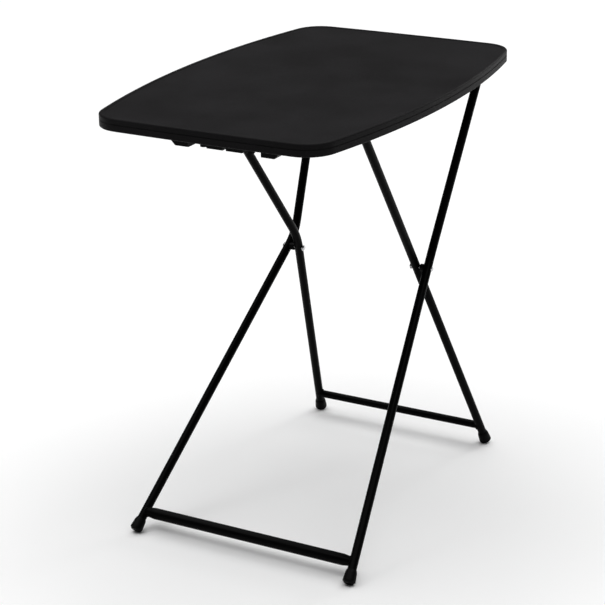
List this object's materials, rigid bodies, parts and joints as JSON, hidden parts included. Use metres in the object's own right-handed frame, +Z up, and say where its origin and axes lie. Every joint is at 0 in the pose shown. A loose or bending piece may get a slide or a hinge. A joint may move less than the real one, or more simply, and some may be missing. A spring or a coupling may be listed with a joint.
{
  "type": "folding snack table",
  "caption": "Folding snack table: bowed moulded top on crossed, bent steel tube legs that close as the top lifts off its lock bar and turns about its far end.",
  "frame": {"origin": "centre of the bounding box's footprint on the floor", "axes": "+X to the seated user's right, +Y from the user's edge to the hinged far end, +Z up"},
  "size_m": [0.44, 0.6648, 0.696],
  "materials": {
    "top_resin": "matt, fine grain",
    "rack_resin": "smooth moulded",
    "frame_paint": "satin powder coat",
    "foot_resin": "smooth moulded",
    "rivet_steel": "bright plated",
    "screw_steel": "plated"
  },
  "bodies": {
    "outer_frame": {"outer_leg_left": "frame_paint", "outer_leg_right": "frame_paint", "hinge_bar": "frame_paint", "hinge_bar_plugs": "foot_resin", "outer_crossbar": "frame_paint", "outer_foot_left": "foot_resin", "outer_foot_right": "foot_resin", "pivot_rivet_left": "rivet_steel", "pivot_rivet_right": "rivet_steel", "pivot_spacer_left": "foot_resin", "pivot_spacer_right": "foot_resin", "pivot_washer_left": "rivet_steel", "pivot_washer_right": "rivet_steel"},
    "inner_frame": {"inner_leg_left": "frame_paint", "inner_leg_right": "frame_paint", "lock_bar": "frame_paint", "lock_bar_plugs": "foot_resin", "inner_crossbar": "frame_paint", "inner_foot_left": "foot_resin", "inner_foot_right": "foot_resin"},
    "table_top": {"table_top": "top_resin", "height_rack_left": "rack_resin", "height_rack_right": "rack_resin", "rack_screws": "screw_steel", "hinge_strap_left": "rack_resin", "hinge_strap_right": "rack_resin", "strap_screws": "screw_steel"}
  },
  "joints": [
    {"name": "top_lift", "type": "hinge", "parent": "outer_frame", "child": "table_top", "pos_m": [0, 0.303, 0.681], "axis": [-1, 0, 0], "range_deg": [0, 75]},
    {"name": "inner_close", "type": "hinge", "parent": "outer_frame", "child": "inner_frame", "pos_m": [0, 0.1374, 0.3667], "axis": [-1, 0, 0], "range_deg": [0, 60]}
  ],
  "couplings": [
    {"joint": "inner_close", "follows": "top_lift", "ratio": 0.8}
  ]
}
